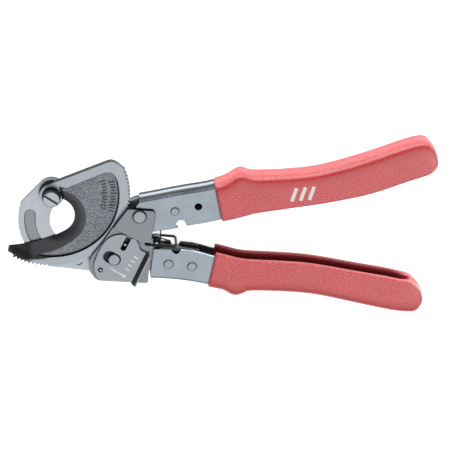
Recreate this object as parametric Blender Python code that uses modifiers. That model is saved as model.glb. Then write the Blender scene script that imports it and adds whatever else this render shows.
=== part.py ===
"""Ratchet cable cutter for 32 mm copper and aluminium cable, as separate solids.

The tool lies flat, with its handles along +X. The blade pivot's axis is the Z axis and the
underside of the pivot nut is at Z = 0. Sizes below are in millimetres; MM turns them into metres.
Heights called "level" are measured from the tool's middle plane, which lies at MID_Z.
"""

import math

import bmesh
import bpy
from mathutils import Matrix, Vector

MM = 0.001
MID_Z = 8.1

# Joint axes, all parallel to Z, as places in plan.
BLADE_PIVOT = Vector((0.0, 0.0))
HANDLE_PIVOT = Vector((52.0, -11.7))
DRIVE_PIVOT = Vector((56.5, -21.6))
RETAIN_PIVOT = Vector((37.1, -40.2))
BAIL_PIVOT = Vector((56.3, -30.5))
SPRING_PIN = Vector((62.6, -31.0))
TANG_RIVETS = (Vector((69.8, -43.9)), Vector((84.0, -45.6)))
UPPER_RIVET = Vector((73.0, -9.1))
COVER_RIVET = Vector((52.6, -52.0))

# Layers, bottom and top level of each sheet.
FIXED_BLADE_LAYER = (-4.6, -0.15)
MOVING_BLADE_LAYER = (0.15, 4.6)
PAWL_LAYER = (0.5, 4.4)
LOWER_PLATE = (4.9, 6.3)
UPPER_PLATE = (6.6, 8.1)
SLIDE_LAYER = (6.6, 7.4)

# Blades and teeth.
TOOTH_RADIUS = 46.5
TOOTH_DEPTH = 1.5
TEETH_PER_TURN = 120
FIRST_TOOTH_DEG = 21.0
LAST_TOOTH_DEG = -123.0
BLADE_BOSS = 7.1
TOP_SLOPE_DEG = 22.7
RIM_INNER = 40.2
RECESS_DEPTH = 1.4
EDGE_CENTRE = Vector((2.4, -14.2))
EDGE_RADIUS = 11.3
BEVEL_CENTRE = Vector((2.4, -14.6))
BEVEL_RADIUS = 18.1
EDGE_LAND = 0.35
JAW_CENTRE = Vector((14.8, -17.5))
JAW_RADIUS = 16.0
HOOK_RADIUS = 34.8
HOOK_BOSS = 8.7
POCKET_RADII = (24.4, 31.2)
POCKET_DEPTH = 0.7

# Handles and grips.
HANDLE_HALF = 6.3
HANDLE_INNER_HALF = 4.7
HANDLE_WALL = 1.6
HANDLE_CORNER = 1.8
GRIP_HALF = 8.1
GRIP_INNER_HALF = 3.5
GRIP_CORNER = 3.5
GRIP_FIT = 0.15
GRIP_END_TAPER = {0: 1.6, 1: 0.5}
LINING = 1.0
LATCH_WIRE = 0.8
LATCH_LEVEL = 7.25
LATCH_REACH = 17.9
LATCH_REST_DEG = -5.0

ROUND_STEPS = 32

cutter_group = None
part_group = None
materials = {}


def clear_scene():
    for obj in list(bpy.data.objects):
        bpy.data.objects.remove(obj, do_unlink=True)


def make_groups():
    global cutter_group, part_group
    part_group = bpy.data.collections.new("cable_cutter")
    cutter_group = bpy.data.collections.new("cutters")
    for group in (part_group, cutter_group):
        bpy.context.scene.collection.children.link(group)


def make_material(name, colour, roughness, metallic):
    material = bpy.data.materials.new(name)
    material.use_nodes = True
    shader = material.node_tree.nodes["Principled BSDF"]
    shader.inputs["Base Color"].default_value = (*colour, 1.0)
    shader.inputs["Roughness"].default_value = roughness
    shader.inputs["Metallic"].default_value = metallic
    materials[name] = material


def make_materials():
    make_material("forged_steel", (0.48, 0.53, 0.58), 0.35, 0.9)
    make_material("blade_steel", (0.40, 0.43, 0.46), 0.4, 0.9)
    make_material("plated_steel", (0.36, 0.40, 0.44), 0.35, 0.9)
    make_material("plate_steel", (0.30, 0.33, 0.36), 0.45, 0.9)
    make_material("bolt_steel", (0.55, 0.58, 0.60), 0.3, 0.95)
    make_material("dark_steel", (0.03, 0.035, 0.04), 0.4, 0.8)
    make_material("red_vinyl", (0.62, 0.09, 0.10), 0.55, 0.0)


# ---------- outlines in plan ----------

def polar(centre, radius, degrees):
    angle = math.radians(degrees)
    return Vector((centre.x + radius * math.cos(angle), centre.y + radius * math.sin(angle)))


def arc(centre, radius, start_deg, end_deg, steps=12):
    return [polar(centre, radius, start_deg + (end_deg - start_deg) * i / steps)
            for i in range(steps + 1)]


def circle(centre, radius, steps=ROUND_STEPS):
    return arc(centre, radius, 0.0, 360.0, steps)[:-1]


def bezier(start, start_pull, end_pull, end, steps=12):
    points = []
    for i in range(steps + 1):
        t = i / steps
        u = 1.0 - t
        points.append(u ** 3 * start + 3 * u * u * t * start_pull
                      + 3 * u * t * t * end_pull + t ** 3 * end)
    return points


def rounded(corners, radius, steps=4):
    """A closed outline with every corner rounded; radius is one value or one for each corner."""
    count = len(corners)
    radii = radius if isinstance(radius, (list, tuple)) else [radius] * count
    points = []
    for i, corner in enumerate(corners):
        corner = Vector(corner)
        back = (Vector(corners[i - 1]) - corner).normalized()
        ahead = (Vector(corners[(i + 1) % count]) - corner).normalized()
        if radii[i] == 0.0:
            points.append(corner)
            continue
        half = back.angle(ahead) / 2.0
        reach = radii[i] / math.tan(half)
        start = corner + back * reach
        end = corner + ahead * reach
        points += bezier(start, start.lerp(corner, 0.6), end.lerp(corner, 0.6), end, steps)
    return points


def slot(start, end, radius, steps=12):
    """The outline of a round-ended slot between two centres."""
    turn = math.degrees(math.atan2(end.y - start.y, end.x - start.x))
    return (arc(end, radius, turn - 90.0, turn + 90.0, steps)
            + arc(start, radius, turn + 90.0, turn + 270.0, steps))


def smooth(points, steps=4):
    """A Catmull-Rom line through the points."""
    line = [Vector(p) for p in points]
    padded = [2 * line[0] - line[1], *line, 2 * line[-1] - line[-2]]
    out = [line[0]]
    for i in range(len(line) - 1):
        a, b, c, d = padded[i:i + 4]
        for k in range(1, steps + 1):
            t = k / steps
            out.append(0.5 * (2 * b + (c - a) * t + (2 * a - 5 * b + 4 * c - d) * t * t
                              + (3 * b - a - 3 * c + d) * t ** 3))
    return out


# ---------- solids ----------

def link(obj, material, cutter=False):
    if cutter:
        cutter_group.objects.link(obj)
        obj.hide_render = True
        obj.display_type = "WIRE"
    else:
        part_group.objects.link(obj)
        obj.data.materials.clear()
        obj.data.materials.append(materials[material])
    return obj


def finish_mesh(name, build, material, cutter):
    mesh = bpy.data.meshes.new(name)
    bmesh.ops.recalc_face_normals(build, faces=build.faces)
    build.to_mesh(mesh)
    build.free()
    return link(bpy.data.objects.new(name, mesh), material, cutter)


def as_mesh(source, weld):
    """Turns a curve, or a mesh with modifiers, into a welded plain mesh object of the same name."""
    name = source.name
    bpy.context.scene.collection.objects.link(source)
    evaluated = source.evaluated_get(bpy.context.evaluated_depsgraph_get())
    mesh = bpy.data.meshes.new_from_object(evaluated)
    world = source.matrix_world.copy()
    bpy.data.objects.remove(source, do_unlink=True)
    build = bmesh.new()
    build.from_mesh(mesh)
    bmesh.ops.remove_doubles(build, verts=build.verts, dist=weld * MM)
    bmesh.ops.recalc_face_normals(build, faces=build.faces)
    build.to_mesh(mesh)
    build.free()
    mesh.name = name
    obj = bpy.data.objects.new(name, mesh)
    obj.matrix_world = world
    return obj


def plate(name, outlines, levels, material="", cutter=False, edge=0.0):
    """A flat plate from a filled 2D curve; the outlines after the first are holes."""
    low, high = levels
    curve = bpy.data.curves.new(name, "CURVE")
    curve.dimensions = "2D"
    curve.fill_mode = "BOTH"
    curve.extrude = ((high - low) / 2.0 - edge) * MM
    if edge:
        curve.bevel_depth = edge * MM
        curve.bevel_resolution = 0
        curve.offset = -edge * MM
    for outline in outlines:
        spline = curve.splines.new("POLY")
        spline.points.add(len(outline) - 1)
        for point, place in zip(spline.points, outline):
            point.co = (place.x * MM, place.y * MM, 0.0, 1.0)
        spline.use_cyclic_u = True
    obj = bpy.data.objects.new(name, curve)
    obj.location.z = (MID_Z + (low + high) / 2.0) * MM
    bpy.context.view_layer.update()
    return link(as_mesh(obj, 0.002), material, cutter)


def turned(name, profile, centre, material="", cutter=False):
    """A turned shape: a profile of (radius, level) pairs, spun about Z by a Screw modifier."""
    mesh = bpy.data.meshes.new(name)
    places = [(radius * MM, 0.0, level * MM) for radius, level in profile]
    mesh.from_pydata(places, [(i, i + 1) for i in range(len(places) - 1)], [])
    obj = bpy.data.objects.new(name, mesh)
    obj.location = (centre.x * MM, centre.y * MM, MID_Z * MM)
    screw = obj.modifiers.new("spin", "SCREW")
    screw.axis = "Z"
    screw.steps = ROUND_STEPS
    screw.render_steps = ROUND_STEPS
    screw.use_merge_vertices = True
    screw.merge_threshold = 0.00001
    return link(as_mesh(obj, 0.002), material, cutter)


def drill(name, centre, radius, levels):
    """A round cutter for a hole."""
    low, high = levels
    build = bmesh.new()
    place = Matrix.Translation((centre.x * MM, centre.y * MM, (MID_Z + (low + high) / 2.0) * MM))
    bmesh.ops.create_cone(build, cap_ends=True, segments=ROUND_STEPS, radius1=radius * MM,
                          radius2=radius * MM, depth=(high - low) * MM, matrix=place)
    return finish_mesh(name, build, "", True)


def loft(name, rings, material="", cutter=False):
    """A closed solid through equal rings of points given as (x, y, level)."""
    build = bmesh.new()
    rows = [[build.verts.new((x * MM, y * MM, (MID_Z + z) * MM)) for x, y, z in ring] for ring in rings]
    count = len(rows[0])
    for near, far in zip(rows, rows[1:]):
        for i in range(count):
            k = (i + 1) % count
            build.faces.new((near[i], near[k], far[k], far[i]))
    build.faces.new(rows[0])
    build.faces.new(rows[-1])
    bmesh.ops.triangulate(build, faces=build.faces)
    return finish_mesh(name, build, material, cutter)


def wire(name, points, radius, material, cutter=False):
    """A round wire along points given as (x, y, level)."""
    curve = bpy.data.curves.new(name, "CURVE")
    curve.dimensions = "3D"
    curve.bevel_depth = radius * MM
    curve.bevel_resolution = 2
    curve.use_fill_caps = True
    spline = curve.splines.new("POLY")
    spline.points.add(len(points) - 1)
    for point, (x, y, z) in zip(spline.points, points):
        point.co = (x * MM, y * MM, (MID_Z + z) * MM, 1.0)
    obj = bpy.data.objects.new(name, curve)
    return link(as_mesh(obj, 0.005), material, cutter)


def cut(obj, *cutters, join=False):
    for cutter in cutters:
        boolean = obj.modifiers.new("join" if join else "cut", "BOOLEAN")
        boolean.operation = "UNION" if join else "DIFFERENCE"
        boolean.solver = "EXACT"
        boolean.object = cutter
    return obj


def put_origin_on(obj, axis):
    """Moves an object's origin onto a joint axis without moving its shape."""
    bpy.context.view_layer.update()
    target = Vector((axis.x * MM, axis.y * MM, MID_Z * MM))
    shift = obj.matrix_world.inverted() @ target
    obj.data.transform(Matrix.Translation(-shift))
    obj.location = target
    return obj


# ---------- blades ----------

def tooth_arc(start_deg, end_deg):
    """Saw teeth, walked clockwise; each rises gently and drops steeply."""
    pitch = 360.0 / TEETH_PER_TURN
    points = []
    for i in range(round((start_deg - end_deg) / pitch)):
        tip = start_deg - i * pitch
        points.append(polar(BLADE_PIVOT, TOOTH_RADIUS, tip))
        points.append(polar(BLADE_PIVOT, TOOTH_RADIUS - TOOTH_DEPTH, tip - 0.12 * pitch))
        points.append(polar(BLADE_PIVOT, TOOTH_RADIUS - TOOTH_DEPTH, tip - 0.34 * pitch))
    return points


def cutting_edge():
    """The moving blade's concave edge, from the boss to the tip."""
    round_part = arc(EDGE_CENTRE, EDGE_RADIUS, 68.0, -60.0, 20)
    start = round_part[-1]
    tip = Vector((-25.5, -33.9))
    tail = bezier(start, start + Vector((-12.1, -7.0)), tip + Vector((12.0, 1.2)), tip, 14)
    return round_part + tail[1:]


def bevel_line():
    """Where the ground bevel ends, matched point for point with cutting_edge."""
    round_part = arc(BEVEL_CENTRE, BEVEL_RADIUS, 82.0, -50.0, 20)
    start = round_part[-1]
    tip = Vector((-26.5, -37.2))
    tail = bezier(start, start + Vector((-12.2, -10.3)), tip + Vector((14.0, -4.2)), tip, 14)
    return round_part + tail[1:]


def top_line_point(along, inset=0.0):
    """A point on the blade's straight top edge, or inset from it."""
    slope = math.radians(TOP_SLOPE_DEG)
    direction = Vector((math.cos(slope), math.sin(slope)))
    normal = Vector((-math.sin(slope), math.cos(slope)))
    return direction * along + normal * (BLADE_BOSS - inset)


def moving_blade():
    low, high = MOVING_BLADE_LAYER
    corner = bezier(top_line_point(39.0), top_line_point(42.5), Vector((39.6, 20.0)),
                    Vector((41.7, 18.0)), 6)
    boss = arc(BLADE_PIVOT, BLADE_BOSS, -29.0, -(360.0 - 90.0 - TOP_SLOPE_DEG), 20)
    tip_end = [Vector((-26.3, -35.2)), Vector((-26.0, -37.0))]
    outline = (boss + corner + tooth_arc(FIRST_TOOTH_DEG, LAST_TOOTH_DEG)
               + tip_end[::-1] + cutting_edge()[::-1])
    blade = plate("moving_blade", [outline], (low, high), "blade_steel")

    recess_corner = bezier(top_line_point(33.0, 5.0), top_line_point(38.3, 5.0),
                           polar(BLADE_PIVOT, RIM_INNER, 22.0), polar(BLADE_PIVOT, RIM_INNER, 14.0), 6)
    recess_rim = arc(BLADE_PIVOT, RIM_INNER, 14.0, -138.0, 44)
    recess_open = [Vector((-34.0, -14.0)), Vector((7.6, -12.0))]
    recess_boss = arc(BLADE_PIVOT, BLADE_BOSS + 0.05, -38.0, 34.0, 8)
    recess = plate("blade_recess", [recess_corner + recess_rim[1:] + recess_open + recess_boss],
                   (high - RECESS_DEPTH, high + 2.0), cutter=True)

    rings = []
    for edge, back in zip(cutting_edge(), bevel_line()):
        off = edge + (edge - back).normalized() * 2.0
        floor = low + EDGE_LAND
        rise = (high - RECESS_DEPTH) - floor
        over = edge.lerp(back, 1.0 + 1.4 / max(rise, 0.1))
        rings.append([(off.x, off.y, floor), (edge.x, edge.y, floor),
                      (back.x, back.y, high - RECESS_DEPTH), (over.x, over.y, high + 0.4),
                      (off.x, off.y, high + 0.4)])
    bevel = loft("blade_bevel", rings, cutter=True)
    bore = drill("blade_bore", BLADE_PIVOT, 3.3, (low - 1.0, high + 1.0))
    cut(blade, recess, bevel, bore)
    return put_origin_on(blade, BLADE_PIVOT)


def fixed_blade():
    low, high = FIXED_BLADE_LAYER
    outline = arc(BLADE_PIVOT, HOOK_BOSS, 20.0, 142.0, 14)
    outline += arc(JAW_CENTRE, HOOK_RADIUS, 163.0, 243.0, 20)
    outline += [Vector((21.2, -51.2)), Vector((40.0, -53.0)), Vector((46.0, -54.6)),
                Vector((56.5, -54.6)), Vector((58.2, -51.4)), Vector((72.0, -51.9)),
                Vector((88.0, -53.9))]
    outline += [Vector((88.4, -37.8)), Vector((72.0, -35.4)), Vector((65.6, -34.2))]
    outline += arc(SPRING_PIN, 2.6, -20.0, 120.0, 8)
    outline += [Vector((58.5, -31.6)), Vector((51.0, -28.2)), Vector((47.5, -20.5))]
    outline += arc(HANDLE_PIVOT, 5.4, 240.0, 360.0, 8)
    outline += arc(HANDLE_PIVOT, 8.4, 40.0, 150.0, 10)
    outline += [Vector((42.0, -14.5)), Vector((36.5, -19.5))]
    outline += arc(JAW_CENTRE, JAW_RADIUS, 335.0 - 360.0, 150.0 - 360.0, 40)
    blade = plate("fixed_blade", [outline], (low, high), "forged_steel")

    inner, outer = POCKET_RADII
    middle = (inner + outer) / 2.0
    end_radius = (outer - inner) / 2.0
    pocket_outline = (arc(JAW_CENTRE, outer, 173.0, 222.0, 14) + arc(JAW_CENTRE, inner, 222.0, 173.0, 14)
                      + arc(polar(JAW_CENTRE, middle, 173.0), end_radius, -7.0, 173.0, 12)[1:-1])
    pocket = plate("hook_pocket", [pocket_outline], (high - POCKET_DEPTH, high + 1.0), cutter=True)

    rings = []
    for i in range(41):
        degrees = -30.0 - 178.0 * i / 40
        edge = polar(JAW_CENTRE, JAW_RADIUS, degrees)
        back = polar(JAW_CENTRE, JAW_RADIUS + 5.5, degrees)
        inside = polar(JAW_CENTRE, JAW_RADIUS - 1.0, degrees)
        floor = high - 1.0
        rings.append([(inside.x, inside.y, floor), (edge.x, edge.y, floor), (back.x, back.y, low),
                      (back.x, back.y, low - 1.0), (inside.x, inside.y, low - 1.0)])
    grind = loft("hook_grind", rings, cutter=True)
    through = (low - 1.0, high + 1.0)
    holes = [drill("hook_bore", BLADE_PIVOT, 3.3, through),
             drill("hook_handle_bore", HANDLE_PIVOT, 3.2, through),
             drill("hook_retain_bore", RETAIN_PIVOT, 2.3, through),
             drill("hook_cover_bore", COVER_RIVET, 1.5, through),
             drill("hook_spring_bore", SPRING_PIN, 1.0, through)]
    holes += [drill(f"hook_tang_bore_{i}", place, 2.4, through) for i, place in enumerate(TANG_RIVETS)]
    cut(blade, pocket, grind, *holes)
    return blade


def pivot_hardware():
    slot_cut = plate("screw_slot", [rounded([(-6.0, -0.7), (6.0, -0.7), (6.0, 0.7), (-6.0, 0.7)], 0.0)],
                     (9.2, 12.0), cutter=True)
    slot_cut.rotation_euler.z = math.radians(-34.0)
    bolt = turned("pivot_bolt", [(0.0, -6.7), (2.9, -6.7), (2.9, 4.8), (5.0, 4.8), (5.0, 9.9),
                                 (4.6, 10.3), (0.0, 10.3)], BLADE_PIVOT, "bolt_steel")
    cut(bolt, slot_cut)
    turned("pivot_washer", [(3.1, -5.4), (7.2, -5.4), (7.2, -4.8), (3.1, -4.8), (3.1, -5.4)],
           BLADE_PIVOT, "bolt_steel")
    nut_bore = drill("nut_bore", BLADE_PIVOT, 3.1, (-7.0, -4.0))
    nut = plate("pivot_nut", [circle(BLADE_PIVOT, 6.6, 6)], (-8.1, -5.6), "dark_steel", edge=0.3)
    cut(nut, nut_bore)


# ---------- housing ----------

def step_line():
    """The lower left edge of the raised part of the covers."""
    return [Vector((37.4, -18.2)), Vector((53.3, -27.0)), Vector((59.1, -27.3))]


def cover(name, side):
    """A stepped cover plate; side is 1 for the front and -1 for the back."""
    def levels(pair):
        return tuple(sorted((side * pair[0], side * pair[1])))

    line = step_line()
    lower_outline = rounded([line[2], line[1], line[0], (30.5, -29.1), (23.6, -38.8), (21.3, -47.0),
                             (26.6, -54.8), (47.8, -56.2), (57.7, -56.8)],
                            [0.0, 0.0, 0.0, 6.0, 5.0, 7.0, 5.0, 3.0, 1.8])
    raised_outline = rounded([(45.1, -7.2), (61.3, -8.3), line[2], line[1], line[0]],
                             [1.0, 2.2, 0.0, 0.0, 0.5])
    down = Vector((0.0, -1.6))
    step_outline = [*line, line[2] + down, line[1] + down, line[0] + Vector((-0.6, -1.3))]
    body = plate(name, [lower_outline], levels(LOWER_PLATE), "plate_steel")
    raised = plate(f"{name}_raised", [raised_outline], levels(UPPER_PLATE), cutter=True)
    step = plate(f"{name}_step", [step_outline], levels((LOWER_PLATE[0], UPPER_PLATE[1])), cutter=True)
    cut(body, step, raised, join=True)

    through = levels((4.0, 9.0))
    holes = [drill(f"{name}_handle_hole", HANDLE_PIVOT, 3.2, through),
             drill(f"{name}_retain_hole", RETAIN_PIVOT, 2.3, through),
             drill(f"{name}_cover_hole", COVER_RIVET, 1.5, through),
             drill(f"{name}_bail_hole", BAIL_PIVOT, 1.1, through)]
    cut(body, *holes)
    return body


def front_cover():
    body = cover("front_cover", 1)
    drive_window = plate("drive_pin_window", [slot(Vector((44.6, -30.6)), Vector((40.2, -33.8)), 1.7)],
                         (4.0, 9.0), cutter=True)
    retain_window = plate("retain_pin_window", [slot(Vector((28.8, -46.9)), Vector((31.7, -49.7)), 1.5)],
                          (4.0, 9.0), cutter=True)
    release_window = plate("release_window", [slot(Vector((45.1, -27.6)), Vector((42.6, -32.8)), 1.5)],
                           (4.0, 9.0), cutter=True)
    cut(body, drive_window, retain_window, release_window)


def retaining_rivet():
    """Fastens the plates, carries the retaining pawl and guides the release slide with its head."""
    turned("retaining_pawl_rivet",
           [(0.0, -7.2), (3.0, -7.2), (3.0, -6.5), (2.0, -6.5), (2.0, 6.5), (3.6, 6.5), (3.6, 8.1),
            (3.2, 8.5), (0.0, 8.5)], RETAIN_PIVOT, "plated_steel")


def cover_rivet():
    """Filed flush with the covers, because the release slide passes over it."""
    low, high = -LOWER_PLATE[1], LOWER_PLATE[1]
    turned("cover_rivet", [(0.0, low), (1.2, low), (1.2, high), (0.0, high)], COVER_RIVET, "bolt_steel")


# ---------- handles ----------

def channel_ring(back, opening, half, back_corner, open_corner, back_steps=4, open_steps=1):
    """A rectangular section from the back point to the opening point, with rounded corners."""
    axis = opening - back
    depth = axis.length
    axis = axis / depth
    ring = []

    def corner(depth_at, level_at, radius, start_deg, steps):
        for i in range(steps + 1):
            angle = math.radians(start_deg + 90.0 * i / steps)
            d = depth_at + radius * math.cos(angle)
            z = level_at + radius * math.sin(angle)
            place = back + axis * d
            ring.append((place.x, place.y, z))

    corner(depth - open_corner, half - open_corner, open_corner, 0.0, open_steps)
    corner(back_corner, half - back_corner, back_corner, 90.0, back_steps)
    corner(back_corner, -(half - back_corner), back_corner, 180.0, back_steps)
    corner(depth - open_corner, -(half - open_corner), open_corner, 270.0, open_steps)
    return ring


def inset_stations(stations, back_inset, open_inset):
    moved = []
    for back, opening in stations:
        axis = (opening - back).normalized()
        moved.append((back + axis * back_inset, opening - axis * open_inset))
    return moved


def resample(stations, steps):
    backs = smooth([s[0] for s in stations], steps)
    openings = smooth([s[1] for s in stations], steps)
    return list(zip(backs, openings))


def pairs(rows):
    return [(Vector(a), Vector(b)) for a, b in rows]


def upper_metal_stations():
    return pairs([((50.2, -2.2), (50.2, -23.4)), ((62.0, 0.2), (62.0, -22.3)),
                  ((72.0, 2.4), (73.5, -20.3)), ((82.0, 4.3), (84.0, -18.0)), ((92.0, 6.1), (94.0, -16.2)),
                  ((104.0, 9.4), (106.0, -13.0)), ((120.0, 11.9), (124.0, -8.4)),
                  ((140.0, 12.7), (146.0, -4.6)), ((159.0, 15.4), (165.0, -1.2)),
                  ((182.0, 22.2), (188.0, 5.0)), ((206.0, 31.0), (212.0, 14.4))])


def lower_metal_stations():
    return pairs([((58.9, -53.8), (61.0, -33.8)), ((70.5, -54.5), (71.5, -34.0)),
                  ((82.8, -56.0), (84.4, -35.0)), ((94.4, -58.4), (96.0, -38.4)),
                  ((106.0, -60.8), (107.5, -41.0)), ((122.0, -61.1), (122.5, -42.9)),
                  ((142.0, -61.8), (141.5, -44.0)), ((162.0, -63.9), (159.5, -46.4)),
                  ((187.0, -70.1), (184.0, -51.4)), ((212.0, -75.2), (208.0, -56.4))])


def upper_grip_stations():
    return pairs([((95.9, 8.3), (100.9, -15.5)), ((100.0, 9.4), (105.6, -14.4)),
                  ((104.4, 11.5), (110.0, -13.3)), ((108.8, 14.6), (113.0, -12.4)),
                  ((112.4, 15.6), (116.2, -11.5)), ((116.4, 14.2), (120.0, -10.4)),
                  ((121.5, 13.6), (125.5, -9.3)), ((139.3, 14.4), (145.0, -6.2)), ((158.0, 16.8), (164.0, -3.1)),
                  ((181.7, 23.7), (188.5, 2.4)), ((205.0, 32.4), (212.0, 11.0)), ((214.5, 35.5), (220.2, 13.9)),
                  ((220.6, 35.9), (224.6, 15.8)), ((224.6, 32.9), (227.6, 18.6)), ((227.2, 29.4), (229.3, 21.6))])


def lower_grip_stations():
    return pairs([((93.4, -60.0), (98.0, -36.2)), ((98.4, -61.0), (101.5, -37.2)),
                  ((103.4, -62.3), (105.5, -38.3)), ((107.6, -64.9), (109.4, -39.5)),
                  ((111.4, -65.9), (112.9, -40.3)), ((115.6, -64.5), (117.0, -40.9)),
                  ((120.6, -62.9), (121.4, -41.2)), ((142.4, -63.6), (142.0, -42.4)),
                  ((160.5, -65.6), (158.6, -44.2)), ((187.5, -71.9), (185.0, -49.3)),
                  ((205.5, -76.0), (201.5, -52.4)), ((215.0, -77.3), (211.5, -54.8)),
                  ((221.5, -77.2), (217.4, -56.4)), ((225.0, -73.6), (222.0, -60.2)),
                  ((226.3, -69.5), (225.0, -64.0))])


def channel(name, stations, material):
    """A pressed channel: walls on both sides, one back, and open on the other edge."""
    fine = resample(stations, 2)
    rings = [channel_ring(b, o, HANDLE_HALF, HANDLE_CORNER, 0.3) for b, o in fine]
    body = loft(name, rings, material)
    start = fine[0][0] - fine[1][0]
    end = fine[-1][0] - fine[-2][0]
    inner = inset_stations(fine, HANDLE_WALL, -3.0)
    inner = [(inner[0][0] + start, inner[0][1] + start), *inner, (inner[-1][0] + end, inner[-1][1] + end)]
    hollow = loft(f"{name}_hollow", [channel_ring(b, o, HANDLE_INNER_HALF, 0.6, 0.3, 1) for b, o in inner],
                  cutter=True)
    cut(body, hollow)
    return body


def grip(name, stations, metal):
    """A vinyl grip around the channel, with a lining inside it; both are open like the channel."""
    rings = []
    fine = resample(stations, 2)
    for i, (back, opening) in enumerate(fine):
        from_end = len(fine) - 1 - i
        near_end = from_end < 2
        half = GRIP_HALF - GRIP_END_TAPER.get(from_end, 0.0)
        back_corner = 2.5 if near_end else GRIP_CORNER
        rings.append(channel_ring(back, opening, half, back_corner, 2.5 if near_end else 1.5, 4, 2))
    skin = loft(name, rings, "red_vinyl")

    fine = resample(metal, 2)
    end = (fine[-1][0] - fine[-2][0]).normalized() * GRIP_FIT
    space = inset_stations(fine, -GRIP_FIT, -5.0)
    space.append((space[-1][0] + end, space[-1][1] + end))
    room = loft(f"{name}_room", [channel_ring(b, o, HANDLE_HALF + GRIP_FIT, HANDLE_CORNER, 0.3, 2)
                                 for b, o in space], cutter=True)
    cut(skin, room)

    inside = [pair for pair in fine if pair[0].x > stations[0][0].x + 6.0]
    cover_inset = HANDLE_WALL + GRIP_FIT
    lining = loft(f"{name}_lining", [channel_ring(b, o, HANDLE_INNER_HALF - GRIP_FIT, 0.5, 0.3, 1)
                                     for b, o in inset_stations(inside, cover_inset, -1.2)], "red_vinyl")
    start = (inside[0][0] - inside[1][0]).normalized()
    core = inset_stations(inside, cover_inset + LINING, -5.0)
    core.insert(0, (core[0][0] + start, core[0][1] + start))
    core.append((core[-1][0] - start, core[-1][1] - start))
    hollow = loft(f"{name}_hollow", [channel_ring(b, o, GRIP_INNER_HALF, 0.5, 0.3, 1) for b, o in core],
                  cutter=True)
    cut(lining, hollow)
    return skin, lining


def upper_handle():
    body = channel("upper_handle_channel", upper_metal_stations(), "plated_steel")
    everywhere = (-9.0, 9.0)
    # The web ends above the pivot; the two walls go on around it and down to the drive pawl's pin.
    nose_outline = [Vector((40.0, 10.0)), Vector((51.8, 10.0)), Vector((51.8, -3.6)),
                    *arc(HANDLE_PIVOT, 6.1, 105.0, 230.0, 12),
                    *arc(DRIVE_PIVOT, 3.3, 190.0, 320.0, 8), Vector((61.5, -22.3)), Vector((61.5, -30.0)),
                    Vector((40.0, -30.0))]
    nose = plate("upper_nose_cut", [nose_outline], everywhere, cutter=True)
    web_clear = plate("upper_web_clear", [circle(HANDLE_PIVOT, 9.3, 32)],
                      (-HANDLE_INNER_HALF, HANDLE_INNER_HALF), cutter=True)
    notch = plate("latch_notch", [rounded([(75.6, -22.0), (75.2, -19.4), (73.2, -18.0), (75.4, -14.9),
                                           (78.4, -14.9), (82.2, -22.0)],
                                          [0.0, 0.4, 0.6, 1.6, 1.6, 0.0])], everywhere, cutter=True)
    holes = [drill("upper_pivot_hole", HANDLE_PIVOT, 3.2, everywhere),
             drill("upper_drive_hole", DRIVE_PIVOT, 1.6, everywhere),
             drill("upper_rivet_hole", UPPER_RIVET, 1.9, everywhere),
             drill("upper_hang_hole", Vector((86.9, -6.1)), 2.35, everywhere)]
    cut(body, nose, web_clear, notch, *holes)
    put_origin_on(body, HANDLE_PIVOT)

    for piece in grip("upper_grip", upper_grip_stations(), upper_metal_stations()):
        put_origin_on(piece, HANDLE_PIVOT)
    turned("upper_handle_rivet", [(0.0, -7.0), (2.2, -7.0), (2.6, -6.5), (1.6, -6.5), (1.6, 6.5), (2.6, 6.5),
                                  (2.2, 7.0), (0.0, 7.0)], UPPER_RIVET, "plated_steel")
    put_origin_on(bpy.data.objects["upper_handle_rivet"], HANDLE_PIVOT)
    turned("upper_handle_spacer", [(1.9, -4.4), (3.6, -4.4), (3.6, 4.4), (1.9, 4.4), (1.9, -4.4)],
           UPPER_RIVET, "plated_steel")
    put_origin_on(bpy.data.objects["upper_handle_spacer"], HANDLE_PIVOT)


def lower_handle():
    body = channel("lower_handle_channel", lower_metal_stations(), "plated_steel")
    everywhere = (-9.0, 9.0)
    notch = plate("bail_notch", [rounded([(71.4, -31.0), (71.4, -34.9), (74.4, -38.6), (77.6, -34.0),
                                          (79.0, -31.0)], [0.0, 1.5, 2.2, 1.5, 0.0])],
                  everywhere, cutter=True)
    holes = [drill(f"lower_rivet_hole_{i}", place, 2.4, everywhere) for i, place in enumerate(TANG_RIVETS)]
    cut(body, notch, *holes)
    grip("lower_grip", lower_grip_stations(), lower_metal_stations())

    spacer = plate("tang_spacer", [rounded([(66.0, -34.6), (72.0, -35.4), (88.4, -37.8), (88.0, -53.9),
                                            (72.0, -51.9), (63.5, -51.3)], 0.6)], (0.15, 4.4),
                   "dark_steel")
    cut(spacer, *[drill(f"spacer_hole_{i}", place, 2.4, (-1.0, 6.0)) for i, place in enumerate(TANG_RIVETS)])
    for i, place in enumerate(TANG_RIVETS):
        turned(f"tang_rivet_{i + 1}", [(0.0, -6.9), (2.4, -6.9), (2.9, -6.5), (2.1, -6.5), (2.1, 6.5),
                                       (2.9, 6.5), (2.5, 6.9), (0.0, 6.9)], place, "plated_steel")


# ---------- ratchet ----------

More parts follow.
